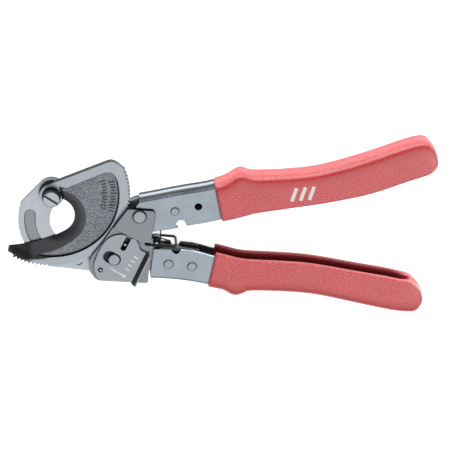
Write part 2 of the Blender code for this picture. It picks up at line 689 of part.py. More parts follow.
def drive_pawl():
    """Pushes the blade's teeth when the upper handle closes. Drawn clear of the teeth."""
    tip = polar(BLADE_PIVOT, TOOTH_RADIUS + 0.4, -40.0)
    pin = Vector((43.7, -31.1))
    outline = (arc(DRIVE_PIVOT, 2.9, -95.0, 100.0, 12)
               + [Vector((50.5, -21.2)), Vector((43.5, -24.0)), tip + Vector((1.8, 2.4)), tip,
                  tip + Vector((1.8, -1.1)), Vector((40.6, -31.3))]
               + arc(pin, 1.9, 215.0, 330.0, 8) + [Vector((50.0, -26.2))])
    pawl = plate("drive_pawl", [outline], PAWL_LAYER, "dark_steel")
    through = (-1.0, 6.0)
    cut(pawl, drill("drive_pawl_bore", DRIVE_PIVOT, 1.6, through),
        drill("drive_lift_bore", pin, 1.05, through))
    put_origin_on(pawl, DRIVE_PIVOT)
    lift = turned("drive_pawl_lift_pin", [(0.0, 0.6), (0.85, 0.6), (0.85, 6.1), (0.65, 6.3), (0.0, 6.3)],
                  pin, "bolt_steel")
    put_origin_on(lift, DRIVE_PIVOT)
    hinge = turned("drive_pawl_pin", [(0.0, -6.2), (1.35, -6.2), (1.35, 6.2), (0.0, 6.2)], DRIVE_PIVOT,
                   "bolt_steel")
    put_origin_on(hinge, HANDLE_PIVOT)


def retaining_pawl():
    """Holds the blade between strokes. Drawn clear of the teeth."""
    tip = polar(BLADE_PIVOT, TOOTH_RADIUS + 0.4, -61.0)
    pin = Vector((29.0, -47.2))
    outline = (arc(RETAIN_PIVOT, 3.9, -80.0, 95.0, 12)
               + [Vector((30.0, -38.3)), tip + Vector((1.4, 1.0)), tip, tip + Vector((0.6, -2.4)),
                  Vector((27.0, -44.6))]
               + arc(pin, 1.9, 160.0, 290.0, 8))
    pawl = plate("retaining_pawl", [outline], PAWL_LAYER, "dark_steel")
    through = (-1.0, 6.0)
    cut(pawl, drill("retaining_pawl_bore", RETAIN_PIVOT, 2.3, through),
        drill("retaining_lift_bore", pin, 1.0, through))
    put_origin_on(pawl, RETAIN_PIVOT)
    lift = turned("retaining_pawl_lift_pin", [(0.0, 0.6), (0.8, 0.6), (0.8, 7.5), (0.6, 7.7), (0.0, 7.7)],
                  pin, "bolt_steel")
    put_origin_on(lift, RETAIN_PIVOT)


SLIDE_DIRECTION = Vector((0.849, -0.528))
SLIDE_TRAVEL = 3.0
TAB_REACH = 2.9
TAB_RISE = 2.6
TAB_GROOVES = 16


def release_slide():
    """The sheet metal slide that lifts both pawls, with its folded thumb tab."""
    slot_end = Vector((42.6, -32.8))
    slot_up = Vector((0.42, 0.906))
    slot_side = Vector((0.906, -0.42))
    mouth = slot_end + slot_up * 7.4
    left_lip = mouth - slot_side * 1.7
    right_lip = mouth + slot_side * 1.7
    outline = (arc(slot_end, 1.7, 155.0, 335.0, 12)
               + [right_lip - slot_up * 0.8]
               + bezier(right_lip, right_lip + Vector((1.6, 0.9)), Vector((50.8, -27.2)), Vector((51.6, -30.6)), 6)
               + [Vector((52.7, -34.0)), Vector((56.4, -36.0)), Vector((57.0, -37.2)), Vector((49.6, -55.9)),
                  Vector((47.8, -55.6)), Vector((32.0, -54.4))]
               + bezier(Vector((30.0, -54.2)), Vector((26.4, -53.6)), Vector((24.6, -47.5)),
                        Vector((25.3, -42.5)), 8)
               + [Vector((27.6, -35.6))]
               + bezier(Vector((30.2, -30.6)), Vector((33.4, -25.4)), Vector((37.4, -23.8)), Vector((41.4, -23.9)), 8)
               + bezier(Vector((42.6, -24.0)), left_lip + Vector((0.6, 0.9)), left_lip + Vector((0.3, 0.3)),
                        left_lip - slot_up * 0.6, 4))
    guide = slot(RETAIN_PIVOT + SLIDE_DIRECTION * 0.3, RETAIN_PIVOT - SLIDE_DIRECTION * (SLIDE_TRAVEL + 0.3), 3.85)
    pin_hole = circle(Vector((29.0, -47.2)), 1.6, 24)
    slide = plate("release_slide", [outline[::-1], guide, pin_hole], SLIDE_LAYER, "plate_steel")

    low, high = SLIDE_LAYER
    tab_start = Vector((56.2, -36.2))
    tab_end = Vector((47.5, -56.4))
    along = (tab_end - tab_start).normalized()
    across = Vector((-along.y, along.x))
    section = [(0.0, low), (-0.2, high), (TAB_REACH - 0.9, high + TAB_RISE), (TAB_REACH, high + TAB_RISE),
               (1.1, low)]
    rings = []
    for end in (tab_start, tab_end):
        rings.append([(*(end + across * out), level) for out, level in section])
    tab = loft("slide_tab", rings, cutter=True)
    cut(slide, tab, join=True)
    grooves = []
    for i in range(1, TAB_GROOVES):
        middle = tab_start.lerp(tab_end, i / TAB_GROOVES)
        rings = []
        for side in (-0.28, 0.28):
            centre = middle + along * side
            rings.append([(*(centre + across * out), level) for out, level in
                          ((0.35, high + 0.25), (TAB_REACH - 1.1, high + TAB_RISE - 0.35),
                           (TAB_REACH - 1.9, high + TAB_RISE + 0.5), (-0.6, high + 1.1))])
        grooves.append(loft(f"tab_groove_{i}", rings, cutter=True))
    cut(slide, *grooves)
    return put_origin_on(slide, RETAIN_PIVOT)


def latch_bail():
    """The wire bail that locks the handles together."""
    turn = math.radians(LATCH_REST_DEG)
    along = Vector((math.cos(turn), math.sin(turn)))
    across = Vector((-along.y, along.x))
    bend = 2.2
    path = []

    def add(distance, level, lift=0.0):
        place = BAIL_PIVOT + along * distance + across * lift
        path.append((place.x, place.y, level))

    add(0.0, 5.2)
    add(0.0, 6.4)
    add(0.12, 6.95)
    add(0.75, LATCH_LEVEL)
    add(8.0, LATCH_LEVEL, 0.25)
    for i in range(7):
        angle = math.radians(90.0 * i / 6)
        add(LATCH_REACH - bend + bend * math.sin(angle), LATCH_LEVEL - bend + bend * math.cos(angle),
            0.25 + 0.25 * i / 6)
    mirrored = [(x, y, -z) for x, y, z in reversed(path)]
    bail = wire("latch_bail", path + mirrored, LATCH_WIRE, "dark_steel")
    put_origin_on(bail, BAIL_PIVOT)


# ---------- springs ----------

def coil(centre, radius, start_deg, turns, low, high, per_turn=12):
    count = round(turns * per_turn)
    points = []
    for i in range(count + 1):
        place = polar(centre, radius, start_deg + 360.0 * turns * i / count)
        points.append((place.x, place.y, low + (high - low) * i / count))
    return points


def springs():
    turned("handle_spring_pin", [(0.0, -4.4), (0.85, -4.4), (0.85, 4.3), (0.0, 4.3)], SPRING_PIN,
           "bolt_steel")
    coil_points = coil(SPRING_PIN, 1.75, 90.0, 3.75, 0.5, 4.0)
    lower_leg = [(71.0, -31.2, 0.5), (66.0, -29.7, 0.5)]
    x, y, _ = coil_points[-1]
    upper_leg = [(x + 0.6, y + 3.0, 4.0), (64.6, -18.0, 3.6), (65.4, -3.2, 3.2)]
    wire("handle_spring", lower_leg + coil_points + upper_leg, 0.42, "dark_steel")

    coil_points = coil(DRIVE_PIVOT, 2.1, 200.0, 3.5, -3.9, -1.2)
    wire("drive_pawl_spring", coil_points + [(58.8, -20.4, -1.2), (62.8, -14.0, -1.2)], 0.32, "dark_steel")

    retain = coil(COVER_RIVET, 1.9, 20.0, 2.5, 1.2, 3.4)
    end = retain[-1]
    wire("retaining_pawl_spring", [(56.0, -42.0, 1.2), (54.8, -49.5, 1.2)] + retain
         + [(end[0] - 3.0, end[1] - 0.4, 3.4), (33.4, -49.6, 3.4)], 0.35, "dark_steel")


def main():
    clear_scene()
    make_groups()
    make_materials()
    moving_blade()
    fixed_blade()
    pivot_hardware()
    front_cover()
    cover("back_cover", -1)
    turned("handle_pivot_rivet", [(0.0, -8.1), (2.9, -8.1), (2.9, 8.3), (4.0, 8.3), (4.0, 8.8), (3.5, 9.2),
                                  (0.0, 9.2)], HANDLE_PIVOT, "plated_steel")
    retaining_rivet()
    cover_rivet()
    upper_handle()
    lower_handle()
    drive_pawl()
    retaining_pawl()
    release_slide()
    latch_bail()
    springs()


main()
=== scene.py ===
"""Looks of the ratchet cable cutter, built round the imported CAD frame.

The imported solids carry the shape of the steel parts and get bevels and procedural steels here. The
two dipped vinyl grips replace their CAD stand-ins. Sizes are in millimetres in the part's plan
(handles along +X, blade pivot at the origin) and levels are heights from the middle plane.
"""

import math

import bmesh
import bpy
from mathutils import Matrix, Vector


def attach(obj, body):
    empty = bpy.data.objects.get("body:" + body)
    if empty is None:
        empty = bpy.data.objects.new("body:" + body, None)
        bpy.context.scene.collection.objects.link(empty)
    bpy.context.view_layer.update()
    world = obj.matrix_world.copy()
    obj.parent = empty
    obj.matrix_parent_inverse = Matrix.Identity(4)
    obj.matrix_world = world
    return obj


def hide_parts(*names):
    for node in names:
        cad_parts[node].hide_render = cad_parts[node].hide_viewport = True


MM = 0.001
MID_Z = 8.1

# Camera: a long lens above the tool, tipped towards its +Y side.
LENS = 160.0
SENSOR = 36.0
CLIP = (0.1, 10.0)
CAMERA_DISTANCE = 1200.0
TIP_DEG = 25.0
YAW_DEG = 4.0
AIM = (103.54, -20.91)

# Studio dome: (degrees from overhead towards the tool's +Y side, brightness).
SKY = ((-89.0, 0.46), (-58.0, 0.50), (-25.0, 0.56), (-6.0, 0.44), (6.0, 0.24), (14.0, 0.15),
       (42.0, 0.14), (50.0, 0.30), (58.0, 2.0), (74.0, 2.0), (82.0, 0.35), (89.0, 0.22))
SKY_BLUE = 1.01
# Soft boxes: name, offset in metres from the middle of the tool, width and height in metres, watts.
LIGHTS = (("key", (-0.35, 1.15, 0.72), (0.9, 0.4), 3.2),
          ("fill", (0.9, -0.3, 1.0), (0.7, 0.9), 4.5),
          ("rim", (0.1, 1.5, 0.68), (1.6, 0.22), 6.0),
          ("top", (0.1, -0.7, 1.5), (1.4, 1.0), 3.6))
LIT_POINT = (100.0, -15.0)
FLOOR_GLOW = 0.80
FLOOR_HALF = 3.0
FLOOR_DROP = 0.0001

# The steel parts, as places in plan and levels.
RIM_INNER = 40.2
RECESS_LEVEL = 3.2
BLADE_TOP = 4.6
HOOK_TOP = -0.15
POCKET_FLOOR = -0.85
SLIDE_TOP = 7.4
HANDLE_FACE = 6.3
RETAIN_PIVOT = (37.1, -40.2)
HANG_HOLE = (86.9, -6.1)
EDGE_CENTRE = (2.4, -14.6)
BOLT_GAP = 5.9
EDGE_SEGMENTS = 2
EDGE_ANGLE_DEG = 32.0
WELD = 0.002

# Grip section.
GRIP_HALF = 8.1
GRIP_INNER_HALF = 4.3
GRIP_WALL = 3.6
GRIP_BACK_CORNER = 4.6
GRIP_LIP = 1.3
SECTION_CORNER_STEPS = 8
FACE_STEPS = 12
BACK_STEPS = 6
CAVITY_STEPS = 7
INNER_ROUND = 0.5
# Painted shade, a deeper red beside the back corners: where it starts up the corner and how far it runs
# on the face.
SHADE_START = 0.70
SHADE_RISE = 0.18
SHADE_REACH = 4.0
# Painted shade at the lips, as shares of the painted shade in the cavity.
LIP_OUTSIDE = 0.5
LIP_LOW = 0.6
LIP_LOW_INSIDE = 0.68
LIP_HIGH = 0.3
LIP_HIGH_INSIDE = 0.62
# How fast the painted shade deepens from the brink down the cavity.
DARKENING = 3.0

# Ends of the grips: ROUND, CLOSED_AT and CLOSING are in stations from the mouth or from the tip.
SPLINE_STEPS = 5
TIP_ROUND = 3.0
TIP_SHARE = 0.38
TIP_POWER = 2.2
TIP_WALL = 0.7
MOUTH_ROUND = 0.35
MOUTH_STEP = 0.5
CLOSED_AT = 2.0
CLOSING = 1.5


# ---------- small helpers ----------

def place(x, y, level):
    return Vector((x * MM, y * MM, (MID_Z + level) * MM))


def lerp(a, b, t):
    return a + (b - a) * t


def ease(t):
    t = max(0.0, min(1.0, t))
    return t * t * (3.0 - 2.0 * t)


def spline(points, steps):
    """A Catmull-Rom line through plan points."""
    line = [Vector(p) for p in points]
    padded = [2 * line[0] - line[1], *line, 2 * line[-1] - line[-2]]
    out = [line[0]]
    for i in range(len(line) - 1):
        a, b, c, d = padded[i:i + 4]
        for k in range(1, steps + 1):
            t = k / steps
            out.append(0.5 * (2 * b + (c - a) * t + (2 * a - 5 * b + 4 * c - d) * t * t
                              + (3 * b - a - 3 * c + d) * t ** 3))
    return out


def mesh_object(name, build, material, body):
    mesh = bpy.data.meshes.new(name)
    bmesh.ops.recalc_face_normals(build, faces=build.faces)
    build.to_mesh(mesh)
    build.free()
    for polygon in mesh.polygons:
        polygon.use_smooth = True
    mesh.materials.append(material)
    obj = bpy.data.objects.new(name, mesh)
    bpy.context.scene.collection.objects.link(obj)
    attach(obj, body)
    return obj


# ---------- materials ----------

class Shader:
    """A Principled material under construction, with short calls for its nodes."""

    SAMPLES = 6

    def __init__(self, name, colour, roughness, metallic):
        self.material = bpy.data.materials.new(name)
        self.material.use_nodes = True
        self.tree = self.material.node_tree
        self.out = self.tree.nodes["Principled BSDF"]
        self.out.inputs["Base Color"].default_value = (*colour, 1.0)
        self.out.inputs["Roughness"].default_value = roughness
        self.out.inputs["Metallic"].default_value = metallic
        self.coord = self.tree.nodes.new("ShaderNodeTexCoord").outputs["Object"]

    def feed(self, socket, value):
        if isinstance(value, bpy.types.NodeSocket):
            self.tree.links.new(value, socket)
        elif isinstance(value, (tuple, list)) and socket.type == "RGBA" and len(value) == 3:
            socket.default_value = (*value, 1.0)
        else:
            socket.default_value = value

    def math(self, operation, a, b=0.0, clamp=False):
        node = self.tree.nodes.new("ShaderNodeMath")
        node.operation = operation
        node.use_clamp = clamp
        self.feed(node.inputs[0], a)
        self.feed(node.inputs[1], b)
        return node.outputs[0]

    def ramp(self, value, low, high, to_low=0.0, to_high=1.0):
        """Maps value from low..high to to_low..to_high, clamped, with a smooth step."""
        node = self.tree.nodes.new("ShaderNodeMapRange")
        node.interpolation_type = "SMOOTHSTEP"
        limits = (("From Min", low), ("From Max", high), ("To Min", to_low), ("To Max", to_high))
        for name, number in limits:
            node.inputs[name].default_value = number
        self.feed(node.inputs["Value"], value)
        return node.outputs["Result"]

    def mapping(self, scale, turn_deg):
        node = self.tree.nodes.new("ShaderNodeMapping")
        node.vector_type = "POINT"
        node.inputs["Scale"].default_value = scale
        node.inputs["Rotation"].default_value = (0.0, 0.0, math.radians(turn_deg))
        self.feed(node.inputs["Vector"], self.coord)
        return node.outputs["Vector"]

    def noise(self, scale, detail=3.0, roughness=0.55, vector=None):
        node = self.tree.nodes.new("ShaderNodeTexNoise")
        node.inputs["Scale"].default_value = scale
        node.inputs["Detail"].default_value = detail
        node.inputs["Roughness"].default_value = roughness
        self.feed(node.inputs["Vector"], vector if vector is not None else self.coord)
        return node.outputs["Fac"]

    def cells(self, scale):
        node = self.tree.nodes.new("ShaderNodeTexVoronoi")
        node.inputs["Scale"].default_value = scale
        self.feed(node.inputs["Vector"], self.coord)
        return node.outputs["Distance"]

    def attribute(self, name):
        node = self.tree.nodes.new("ShaderNodeAttribute")
        node.attribute_name = name
        return node.outputs["Fac"]

    def mix(self, factor, a, b):
        node = self.tree.nodes.new("ShaderNodeMix")
        node.data_type = "RGBA"
        self.feed(node.inputs["Factor"], factor)
        self.feed(node.inputs["A"], a)
        self.feed(node.inputs["B"], b)
        return node.outputs["Result"]

    def axes(self):
        node = self.tree.nodes.new("ShaderNodeSeparateXYZ")
        self.feed(node.inputs[0], self.coord)
        return node.outputs[0], node.outputs[1], node.outputs[2]

    def radius_from(self, x0, y0):
        """Distance in plan from a vertical axis, in millimetres."""
        x, y, _ = self.axes()
        dx = self.math("SUBTRACT", self.math("DIVIDE", x, MM), x0)
        dy = self.math("SUBTRACT", self.math("DIVIDE", y, MM), y0)
        squares = self.math("ADD", self.math("MULTIPLY", dx, dx), self.math("MULTIPLY", dy, dy))
        return self.math("SQRT", squares)

    def level(self):
        """Height from the middle plane, in millimetres."""
        return self.math("SUBTRACT", self.math("DIVIDE", self.axes()[2], MM), MID_Z)

    def edges(self, width, amount):
        """amount on convex or concave edges within width millimetres, else 0."""
        bevel = self.tree.nodes.new("ShaderNodeBevel")
        bevel.samples = self.SAMPLES
        bevel.inputs["Radius"].default_value = width * MM
        geometry = self.tree.nodes.new("ShaderNodeNewGeometry")
        dot = self.tree.nodes.new("ShaderNodeVectorMath")
        dot.operation = "DOT_PRODUCT"
        self.feed(dot.inputs[0], bevel.outputs["Normal"])
        self.feed(dot.inputs[1], geometry.outputs["Normal"])
        return self.math("MULTIPLY", self.ramp(dot.outputs["Value"], 0.99, 0.86), amount)

    def crevice(self, reach, amount, open_at=0.86, shut_at=0.42):
        """amount deep in a corner or gap within reach millimetres, else 0."""
        node = self.tree.nodes.new("ShaderNodeAmbientOcclusion")
        node.samples = self.SAMPLES
        node.inputs["Distance"].default_value = reach * MM
        return self.math("MULTIPLY", self.ramp(node.outputs["AO"], open_at, shut_at), amount)

    def seam(self, amount):
        """amount in the line where two pieces meet, else 0."""
        return self.crevice(0.7, amount, 0.97, 0.62)

    def flatness(self):
        """How far a face is from standing along Z: 1 lies flat, 0 stands."""
        node = self.tree.nodes.new("ShaderNodeSeparateXYZ")
        self.feed(node.inputs[0], self.tree.nodes["Texture Coordinate"].outputs["Normal"])
        return self.math("ABSOLUTE", node.outputs[2])

    def steepness(self):
        """1 on walls that stand along Z, 0 on faces that lie flat."""
        return self.ramp(self.flatness(), 0.75, 0.35)

    def bump(self, height, distance, strength, below=None):
        """A normal from height, distance in millimetres, laid over the normal below."""
        node = self.tree.nodes.new("ShaderNodeBump")
        node.inputs["Strength"].default_value = strength
        node.inputs["Distance"].default_value = distance * MM
        self.feed(node.inputs["Height"], height)
        if below is not None:
            self.feed(node.inputs["Normal"], below)
        return node.outputs["Normal"]

    def set(self, **values):
        for name, value in values.items():
            self.feed(self.out.inputs[name.replace("_", " ")], value)
        return self.material


BARE_STEEL = (0.85, 0.88, 0.9)


def tone(colour, factor):
    return tuple(c * factor for c in colour)


def steel(name, colour, roughness, grain_deg=None, metallic=0.92, wear=0.5, pits=0.3, side=0.6,
          dark_patch_at=None, hole_shade_at=None, rim=None, crown_highlight=False):
    """Steel with a brushed or blasted grain, worn edges, painted dark sides and painted shade in
    crevices.

    grain_deg is the direction of the brushing, or None for a blasted grain. wear is how pale the
    edges are worn, pits the depth of the fine pitting, and side the tone of the standing sides, which
    is a painted dark reflection. dark_patch_at is an optional (x, y, radius) of a round patch in plan
    that is painted near black, hole_shade_at an optional (x, y, radius, level) below which a hole is
    painted black as painted shade, and rim the tone of sloping faces, a painted dark reflection. crown
    paints a highlight along the middle of the sides and leaves the rest of them dark, as painted
    reflection.
    """
    s = Shader(name, colour, roughness, metallic)
    cloud = s.noise(120.0, 4.0)
    speck = s.noise(2600.0, 2.0, 0.6)
    if grain_deg is None:
        streak = s.noise(3200.0, 3.0, 0.7)
    else:
        streak = s.noise(1.0, 3.0, 0.65, s.mapping((90.0, 5200.0, 900.0), grain_deg))
    base = s.mix(s.ramp(cloud, 0.35, 0.68), tone(colour, 0.94), tone(colour, 1.05))
    base = s.mix(s.ramp(streak, 0.4, 0.75, 0.0, 0.3), base, tone(colour, 1.25))
    # The standing sides are painted dark, a painted dark reflection, optionally with a painted highlight
    # along their middle.
    flank = tone(colour, side)
    if crown_highlight:
        from_middle = s.math("ABSOLUTE", s.level())
        flank = s.mix(s.ramp(from_middle, 2.6, 0.8), flank, tone(colour, 1.8))
    base = s.mix(s.steepness(), base, flank)
    worn = tuple(min(1.0, c * 1.6 + 0.06) for c in colour)
    base = s.mix(s.edges(0.28, wear), base, worn)
    # A round patch in plan, painted near black.
    if dark_patch_at:
        x, y, radius = dark_patch_at
        patch = s.ramp(s.radius_from(x, y), radius + 0.3, radius - 0.3, 0.0, 0.93)
        base = s.mix(patch, base, tone(colour, 0.05))
    # Painted shade: the hole is painted black below the given level.
    if hole_shade_at:
        x, y, radius, top = hole_shade_at
        below = s.ramp(s.level(), top, top - 0.3)
        near = s.ramp(s.radius_from(x, y), radius, radius - 1.0)
        base = s.mix(s.math("MULTIPLY", below, near), base, tone(colour, 0.02))
    # Sloping faces painted darker, a painted dark reflection.
    if rim is not None:
        base = s.mix(s.ramp(s.flatness(), 0.97, 0.88), base, tone(colour, rim))
    # Painted shade in crevices and in the seams where pieces meet.
    base = s.mix(s.crevice(2.2, 0.92), base, tone(colour, 0.10))
    base = s.mix(s.seam(0.92), base, tone(colour, 0.03))
    rough = s.math("ADD", s.ramp(cloud, 0.3, 0.7, roughness * 0.9, roughness * 1.1),
                   s.ramp(streak, 0.3, 0.7, -0.04, 0.04), True)
    normal = s.bump(streak, 0.008, 0.4)
    normal = s.bump(speck, 0.008, pits, normal)
    return s.set(Base_Color=base, Roughness=rough, Normal=normal)


def hook_steel():
    """The forged hook: satin ground face with a darker blasted pocket, standing sides painted dark as
    painted reflection, and painted shade in crevices and seams.
    """
    face = (0.43, 0.467, 0.505)
    pocket = (0.33, 0.345, 0.365)
    # Painted shade colours, for crevices and for the seams where pieces meet.
    crevice_shade = (0.03, 0.031, 0.034)
    ink_and_shade = (0.01, 0.01, 0.011)
    s = Shader("hook_steel_ground", face, 0.34, 0.9)
    cloud = s.noise(110.0, 4.0)
    streak = s.noise(1.0, 3.0, 0.65, s.mapping((120.0, 4200.0, 900.0), 25.0))
    grit = s.noise(2600.0, 3.0, 0.7)
    base = s.mix(s.ramp(cloud, 0.35, 0.68), tone(face, 0.93), tone(face, 1.04))
    base = s.mix(s.ramp(streak, 0.4, 0.75, 0.0, 0.35), base, tone(face, 1.2))
    level = s.level()
    above_floor = s.ramp(level, POCKET_FLOOR - 0.45, POCKET_FLOOR - 0.15)
    sunk = s.math("MULTIPLY", s.ramp(level, HOOK_TOP - 0.2, HOOK_TOP - 0.5), above_floor)
    pocket_tone = s.mix(s.ramp(grit, 0.4, 0.7), tone(pocket, 0.85), tone(pocket, 1.3))
    # The standing sides are painted dark, a painted dark reflection.
    base = s.mix(s.steepness(), base, tone(face, 0.25))
    base = s.mix(sunk, base, pocket_tone)
    base = s.mix(s.edges(0.3, 0.35), base, BARE_STEEL)
    # Painted shade in crevices and seams.
    base = s.mix(s.crevice(2.4, 0.85), base, crevice_shade)
    base = s.mix(s.seam(0.9), base, ink_and_shade)
    rough = s.math("ADD", s.math("MULTIPLY", sunk, 0.14), s.ramp(streak, 0.3, 0.7, 0.28, 0.38))
    normal = s.bump(streak, 0.01, 0.4)
    normal = s.bump(grit, 0.01, 0.3, normal)
    return s.set(Base_Color=base, Roughness=rough, Normal=normal)


def blade_steel():
    """The crescent blade: ground rim, blasted recess and polished bevel, with painted dark reflection on
    the bevel, the tip and the sides, and painted shade at the recess wall, round the bolt and in seams.
    """
    rim = (0.36, 0.39, 0.43)
    floor = (0.195, 0.206, 0.223)
    # The bevel and tip tones are painted dark reflection.
    bevel_right = (0.085, 0.087, 0.095)
    bevel_left = (0.018, 0.018, 0.021)
    bevel_outer = (0.17, 0.174, 0.186)
    bevel_speck = (0.14, 0.14, 0.15)
    tip_shade = (0.055, 0.057, 0.062)
    # Painted dark reflection for the standing sides, and painted shade colours for crevices, seams, the
    # recess wall and the bolt gap.
    side = (0.018, 0.018, 0.020)
    crevice_shade = (0.03, 0.03, 0.033)
    ink_and_shade = (0.008, 0.008, 0.010)
    s = Shader("blade_steel_ground", rim, 0.32, 0.9)

    # Where each zone is.
    x = s.math("DIVIDE", s.axes()[0], MM)
    level = s.level()
    radius = s.radius_from(0.0, 0.0)
    inside = s.ramp(radius, RIM_INNER + 0.6, RIM_INNER - 0.2)
    recess = s.math("MULTIPLY", s.ramp(level, BLADE_TOP - 0.1, RECESS_LEVEL + 0.2), inside)
    flat = s.flatness()
    ground = s.math("MULTIPLY", s.ramp(flat, 0.985, 0.955), s.ramp(flat, 0.45, 0.6))
    ground = s.math("MULTIPLY", ground, s.ramp(level, BLADE_TOP - 0.1, BLADE_TOP - 0.3))
    wall_shade = s.ramp(radius, RIM_INNER - 1.5, RIM_INNER - 0.5, 0.0, 0.97)
    bolt_shade = s.ramp(radius, BOLT_GAP, BOLT_GAP - 0.5, 0.0, 0.95)
    # The tip is painted dark, a painted dark reflection.
    tip = s.ramp(x, -10.5, -14.5, 0.0, 0.85)

    # The recess: blasted grit.
    cloud = s.noise(70.0, 4.0)
    grit = s.noise(1800.0, 3.0, 0.75)
    floor_tone = s.mix(s.ramp(cloud, 0.35, 0.7), tone(floor, 0.9), tone(floor, 1.12))
    floor_tone = s.mix(s.ramp(grit, 0.40, 0.5, 0.7, 0.0), floor_tone, tone(floor, 0.3))
    floor_tone = s.mix(s.ramp(grit, 0.5, 0.60, 0.0, 0.6), floor_tone, tone(floor, 2.4))

    # The rim: turned, so its marks run round the pivot.
    around = s.tree.nodes.new("ShaderNodeCombineXYZ")
    s.feed(around.inputs[0], s.math("MULTIPLY", radius, 9.0))
    s.feed(around.inputs[1], s.math("MULTIPLY", level, 1.5))
    rings = s.noise(1.0, 2.0, 0.5, around.outputs[0])
    rim_tone = s.mix(s.ramp(rings, 0.35, 0.7), tone(rim, 0.88), tone(rim, 1.1))
    rim_tone = s.mix(s.edges(0.3, 0.45), rim_tone, BARE_STEEL)

    # The bevel, painted dark reflection: darkest at the tip and along the cutting edge.
    bevel_tone = s.mix(s.ramp(x, 16.0, -4.0), bevel_right, bevel_left)
    bevel_tone = s.mix(s.ramp(grit, 0.45, 0.75, 0.0, 0.3), bevel_tone, bevel_speck)
    from_edge = s.radius_from(*EDGE_CENTRE)
    bevel_tone = s.mix(s.ramp(from_edge, 13.0, 18.0, 0.0, 0.85), bevel_tone, bevel_outer)

    base = s.mix(recess, rim_tone, floor_tone)
    base = s.mix(s.math("MULTIPLY", wall_shade, recess), base, ink_and_shade)
    base = s.mix(ground, base, bevel_tone)
    base = s.mix(bolt_shade, base, ink_and_shade)
    base = s.mix(tip, base, tip_shade)
    # Standing sides painted near black as painted dark reflection, then painted shade in crevices and
    # seams.
    base = s.mix(s.steepness(), base, side)
    base = s.mix(s.crevice(2.2, 0.6), base, crevice_shade)
    base = s.mix(s.seam(0.95), base, ink_and_shade)
    rough = s.math("ADD", s.math("MULTIPLY", recess, 0.14), 0.3)
    rough = s.math("SUBTRACT", rough, s.math("MULTIPLY", ground, 0.10))
    normal = s.bump(grit, 0.014, 0.35)
    normal = s.bump(rings, 0.008, 0.4, normal)
    return s.set(Base_Color=base, Roughness=rough, Normal=normal)


def vinyl():
    """Dipped vinyl with a leather-like grain, partly painted glint and shade, and a white sheen; painted
    shade makes it deeper red beside the back corners and near black down inside the channel.
    """
    red = (0.60, 0.024, 0.030)
    # Grain speck colours: partly the vinyl's own mottle, partly painted glint in the pale specks and
    # painted shade in the dark ones.
    grain_and_glint = (0.90, 0.18, 0.195)
    grain_and_shade = (0.36, 0.012, 0.016)
    # Painted shade colours: a deeper red beside the back corners, near black down inside the channel.
    shaded_red = (0.50, 0.002, 0.004)
    cavity = (0.030, 0.002, 0.003)
    s = Shader("dipped_vinyl", red, 0.4, 0.0)
    cloud = s.noise(60.0, 4.0)
    grain = s.cells(1500.0)
    mottle = s.noise(1050.0, 3.0, 0.7)
    fine = s.noise(3800.0, 2.0, 0.6)
    inside = s.attribute("inside")
    base = s.mix(s.ramp(cloud, 0.35, 0.68), tone(red, 0.95), tone(red, 1.04))
    base = s.mix(s.ramp(mottle, 0.50, 0.64, 0.0, 0.62), base, grain_and_glint)
    base = s.mix(s.ramp(mottle, 0.49, 0.36, 0.0, 0.8), base, grain_and_shade)
    # Painted shade from the grip's per-vertex values; the specular is also turned down where the channel
    # is shaded.
    base = s.mix(s.math("MULTIPLY", s.attribute("corner"), 0.9), base, shaded_red)
    base = s.mix(s.math("MULTIPLY", inside, 0.98), base, cavity)
    normal = s.bump(grain, 0.06, 0.5)
    normal = s.bump(mottle, 0.22, 0.8, normal)
    normal = s.bump(fine, 0.03, 0.35, normal)
    rough = s.ramp(mottle, 0.3, 0.7, 0.30, 0.46)
    shine = s.math("MULTIPLY", s.math("SUBTRACT", 1.0, inside), 0.75)
    return s.set(Base_Color=base, Roughness=rough, Normal=normal, IOR=1.7, Specular_IOR_Level=shine,
                 Subsurface_Weight=0.05, Subsurface_Radius=(0.0012, 0.0004, 0.0003),
                 Subsurface_Scale=1.0, Sheen_Weight=0.10, Sheen_Roughness=0.4)


def paint(name, colour, roughness):
    """Printing ink or engraving fill, slightly uneven."""
    s = Shader(name, colour, roughness, 0.0)
    base = s.mix(s.ramp(s.noise(1800.0, 3.0), 0.35, 0.7), tone(colour, 0.85), colour)
    return s.set(Base_Color=base, Normal=s.bump(s.noise(3000.0, 2.0), 0.01, 0.3))


def pale_floor():
    """A near-white floor that glows a little, so that shadows on it stay faint."""
    s = Shader("pale_floor", (0.93, 0.93, 0.93), 0.7, 0.0)
    base = s.mix(s.ramp(s.noise(6.0, 3.0), 0.3, 0.7), (0.92, 0.92, 0.92), (0.94, 0.94, 0.94))
    return s.set(Base_Color=base, Emission_Color=(1.0, 1.0, 1.0), Emission_Strength=FLOOR_GLOW)


# ---------- camera and light ----------

def add_camera(scene):
    tip = Matrix.Rotation(math.radians(TIP_DEG), 3, "X")
    yaw = Matrix.Rotation(math.radians(YAW_DEG), 3, "Y")
    turn = (yaw @ tip).transposed().to_4x4()
    data = bpy.data.cameras.new("camera")
    data.lens = LENS
    data.sensor_width = SENSOR
    data.clip_start, data.clip_end = CLIP
    camera = bpy.data.objects.new("camera", data)
    aim = Matrix.Translation(place(*AIM, 0.0))
    camera.matrix_world = aim @ turn @ Matrix.Translation((0.0, 0.0, CAMERA_DISTANCE * MM))
    scene.collection.objects.link(camera)
    scene.camera = camera


